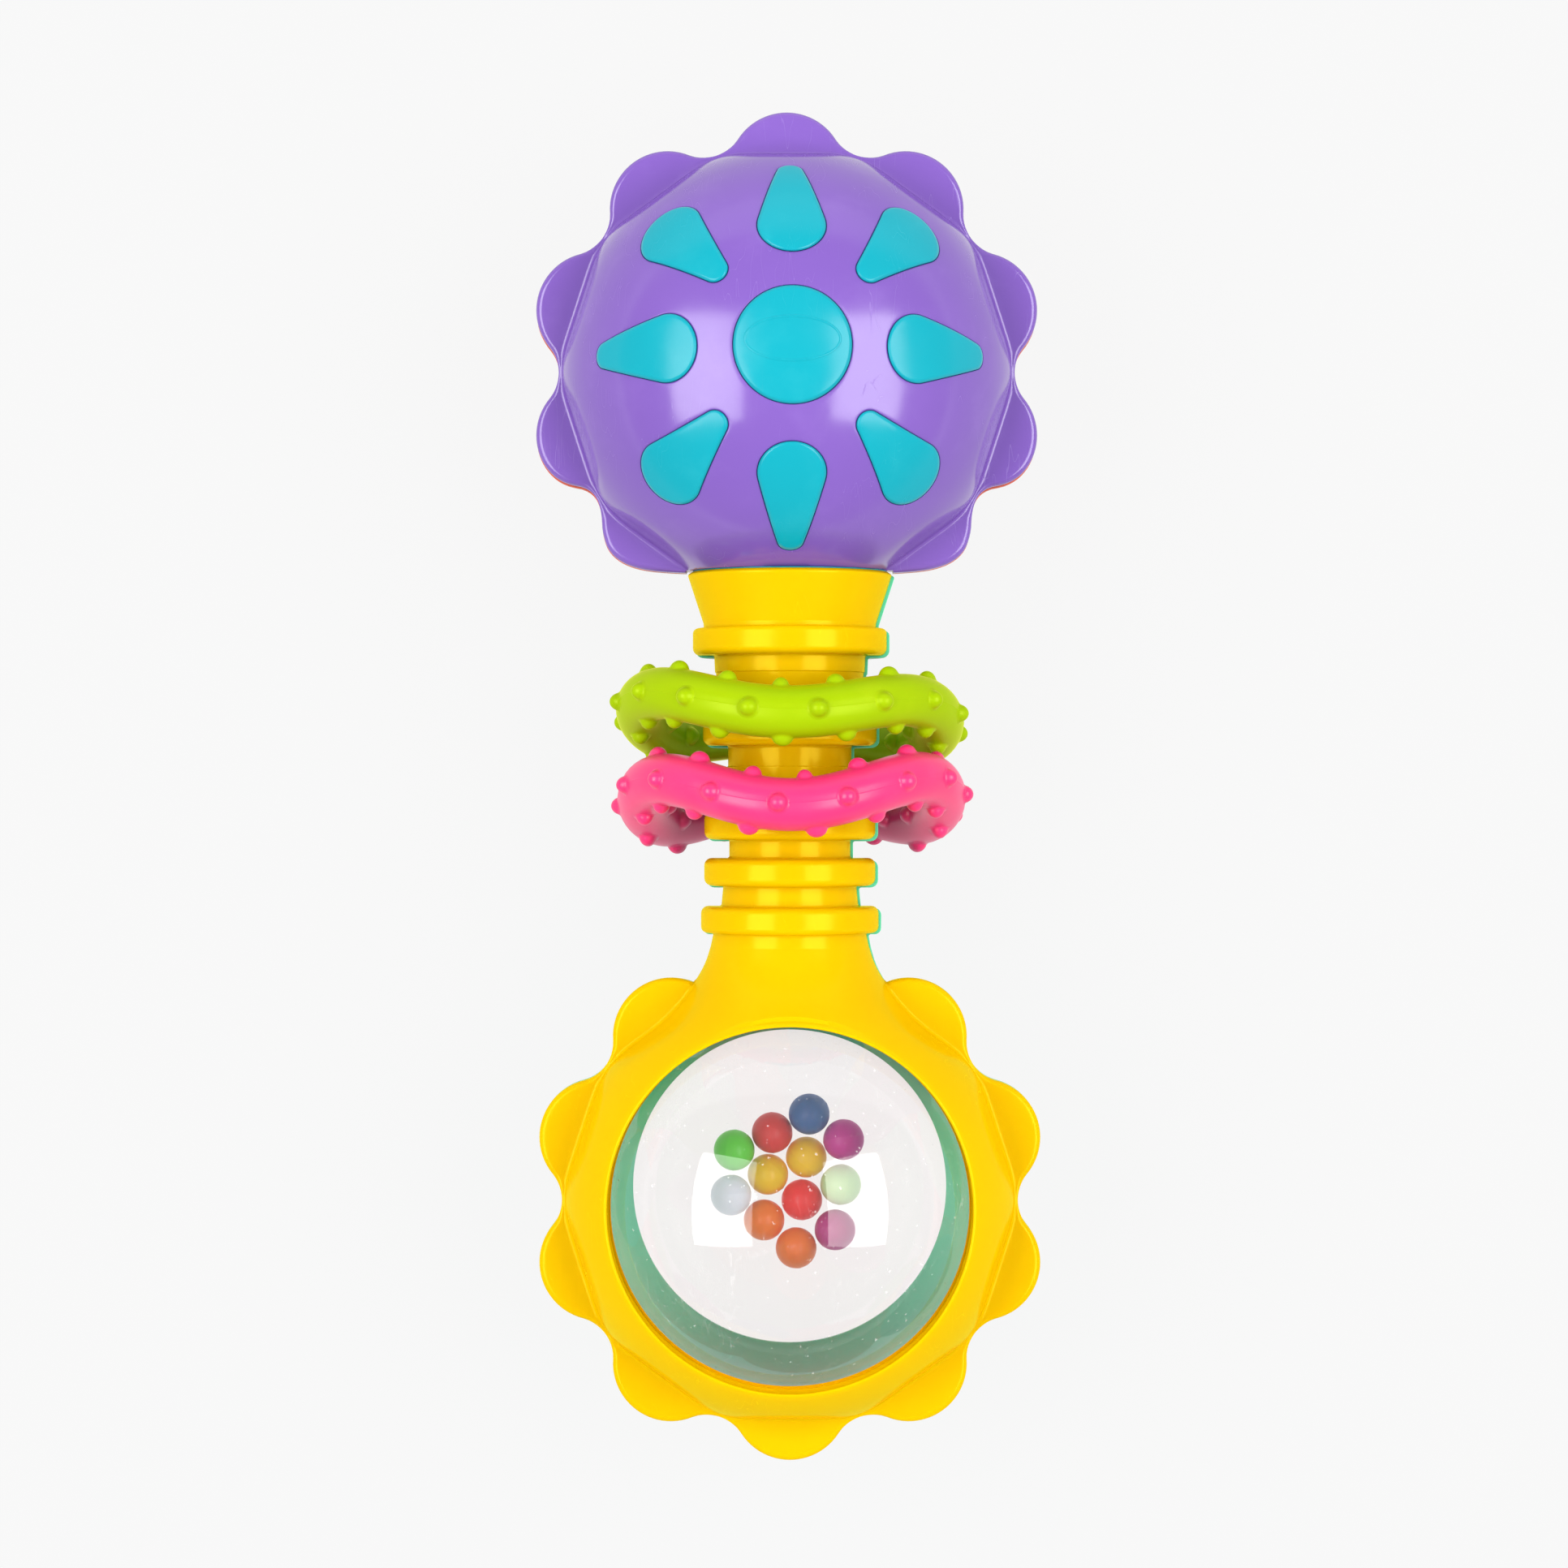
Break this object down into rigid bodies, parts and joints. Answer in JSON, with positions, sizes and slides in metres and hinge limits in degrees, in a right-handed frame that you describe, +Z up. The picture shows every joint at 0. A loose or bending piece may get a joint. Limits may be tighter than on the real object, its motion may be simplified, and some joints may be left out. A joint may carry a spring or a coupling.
{
  "type": "baby rattle",
  "caption": "Barbell rattle: clear ball of loose beads, ribbed grip with sliding bumpy rings, and a scalloped domed head that clicks round.",
  "frame": {"origin": "bottom centre of the bounding box, on the surface that the rattle lies on with its front up", "axes": "+Z up, out of the front face and square to the parting plane at z = 27.2 mm; +Y along the grip from the bead ball towards the head; +X to the right seen from the front"},
  "size_m": [0.0668, 0.18, 0.0544],
  "materials": {
    "yellow_shell": "glossy",
    "mint_shell": "glossy",
    "purple_shell": "glossy",
    "orange_shell": "glossy",
    "teal_insert": "satin",
    "clear_dome": "glossy",
    "lime_rubber": "satin",
    "pink_rubber": "satin",
    "white_mechanism": "matte",
    "screw_steel": "satin",
    "bead_blue": "satin",
    "bead_dull_red": "satin",
    "bead_magenta": "satin",
    "bead_green": "satin",
    "bead_amber": "satin",
    "bead_pale_green": "satin",
    "bead_pale_grey": "satin",
    "bead_red": "satin",
    "bead_orange": "satin",
    "bead_plum": "satin"
  },
  "bodies": {
    "handle": {"handle_front_shell": "yellow_shell", "handle_rear_shell": "mint_shell", "window_dome_front": "clear_dome", "window_dome_rear": "clear_dome", "ratchet_wheel": "white_mechanism", "handle_screw_lower": "screw_steel", "handle_screw_upper": "screw_steel"},
    "head": {"head_front_shell": "purple_shell", "head_rear_shell": "orange_shell", "front_insert": "teal_insert", "rear_insert": "teal_insert", "twist_collar": "teal_insert", "click_tongue": "white_mechanism"},
    "lime_ring": {"lime_ring": "lime_rubber"},
    "pink_ring": {"pink_ring": "pink_rubber"},
    "bead_01": {"bead_01": "bead_blue"},
    "bead_02": {"bead_02": "bead_dull_red"},
    "bead_03": {"bead_03": "bead_magenta"},
    "bead_04": {"bead_04": "bead_green"},
    "bead_05": {"bead_05": "bead_amber"},
    "bead_06": {"bead_06": "bead_amber"},
    "bead_07": {"bead_07": "bead_pale_green"},
    "bead_08": {"bead_08": "bead_pale_grey"},
    "bead_09": {"bead_09": "bead_red"},
    "bead_10": {"bead_10": "bead_orange"},
    "bead_11": {"bead_11": "bead_plum"},
    "bead_12": {"bead_12": "bead_orange"}
  },
  "joints": [
    {"name": "head_twist", "type": "hinge", "parent": "handle", "child": "head", "pos_m": [0, 0.0288, 0.0272], "axis": [0, 1, 0], "continuous": true},
    {"name": "lime_ring_slide", "type": "slide", "parent": "handle", "child": "lime_ring", "axis": [0, 1, 0], "range_m": [-0.0004, 0.007]},
    {"name": "pink_ring_slide", "type": "slide", "parent": "handle", "child": "pink_ring", "axis": [0, 1, 0], "range_m": [-0.0195, 0.0004]},
    {"name": "bead_01_tumble", "type": "slide", "parent": "handle", "child": "bead_01", "axis": [0, 0, 1], "range_m": [0, 0.0394]},
    {"name": "bead_02_tumble", "type": "slide", "parent": "handle", "child": "bead_02", "axis": [0, 0, 1], "range_m": [0, 0.0416]},
    {"name": "bead_03_tumble", "type": "slide", "parent": "handle", "child": "bead_03", "axis": [0, 0, 1], "range_m": [0, 0.0398]},
    {"name": "bead_04_tumble", "type": "slide", "parent": "handle", "child": "bead_04", "axis": [0, 0, 1], "range_m": [0, 0.0404]},
    {"name": "bead_05_tumble", "type": "slide", "parent": "handle", "child": "bead_05", "axis": [0, 0, 1], "range_m": [0, 0.0434]},
    {"name": "bead_06_tumble", "type": "slide", "parent": "handle", "child": "bead_06", "axis": [0, 0, 1], "range_m": [0, 0.0437]},
    {"name": "bead_07_tumble", "type": "slide", "parent": "handle", "child": "bead_07", "axis": [0, 0, 1], "range_m": [0, 0.0419]},
    {"name": "bead_08_tumble", "type": "slide", "parent": "handle", "child": "bead_08", "axis": [0, 0, 1], "range_m": [0, 0.041]},
    {"name": "bead_09_tumble", "type": "slide", "parent": "handle", "child": "bead_09", "axis": [0, 0, 1], "range_m": [0, 0.0438]},
    {"name": "bead_10_tumble", "type": "slide", "parent": "handle", "child": "bead_10", "axis": [0, 0, 1], "range_m": [0, 0.0424]},
    {"name": "bead_11_tumble", "type": "slide", "parent": "handle", "child": "bead_11", "axis": [0, 0, 1], "range_m": [0, 0.0404]},
    {"name": "bead_12_tumble", "type": "slide", "parent": "handle", "child": "bead_12", "axis": [0, 0, 1], "range_m": [0, 0.0404]}
  ]
}
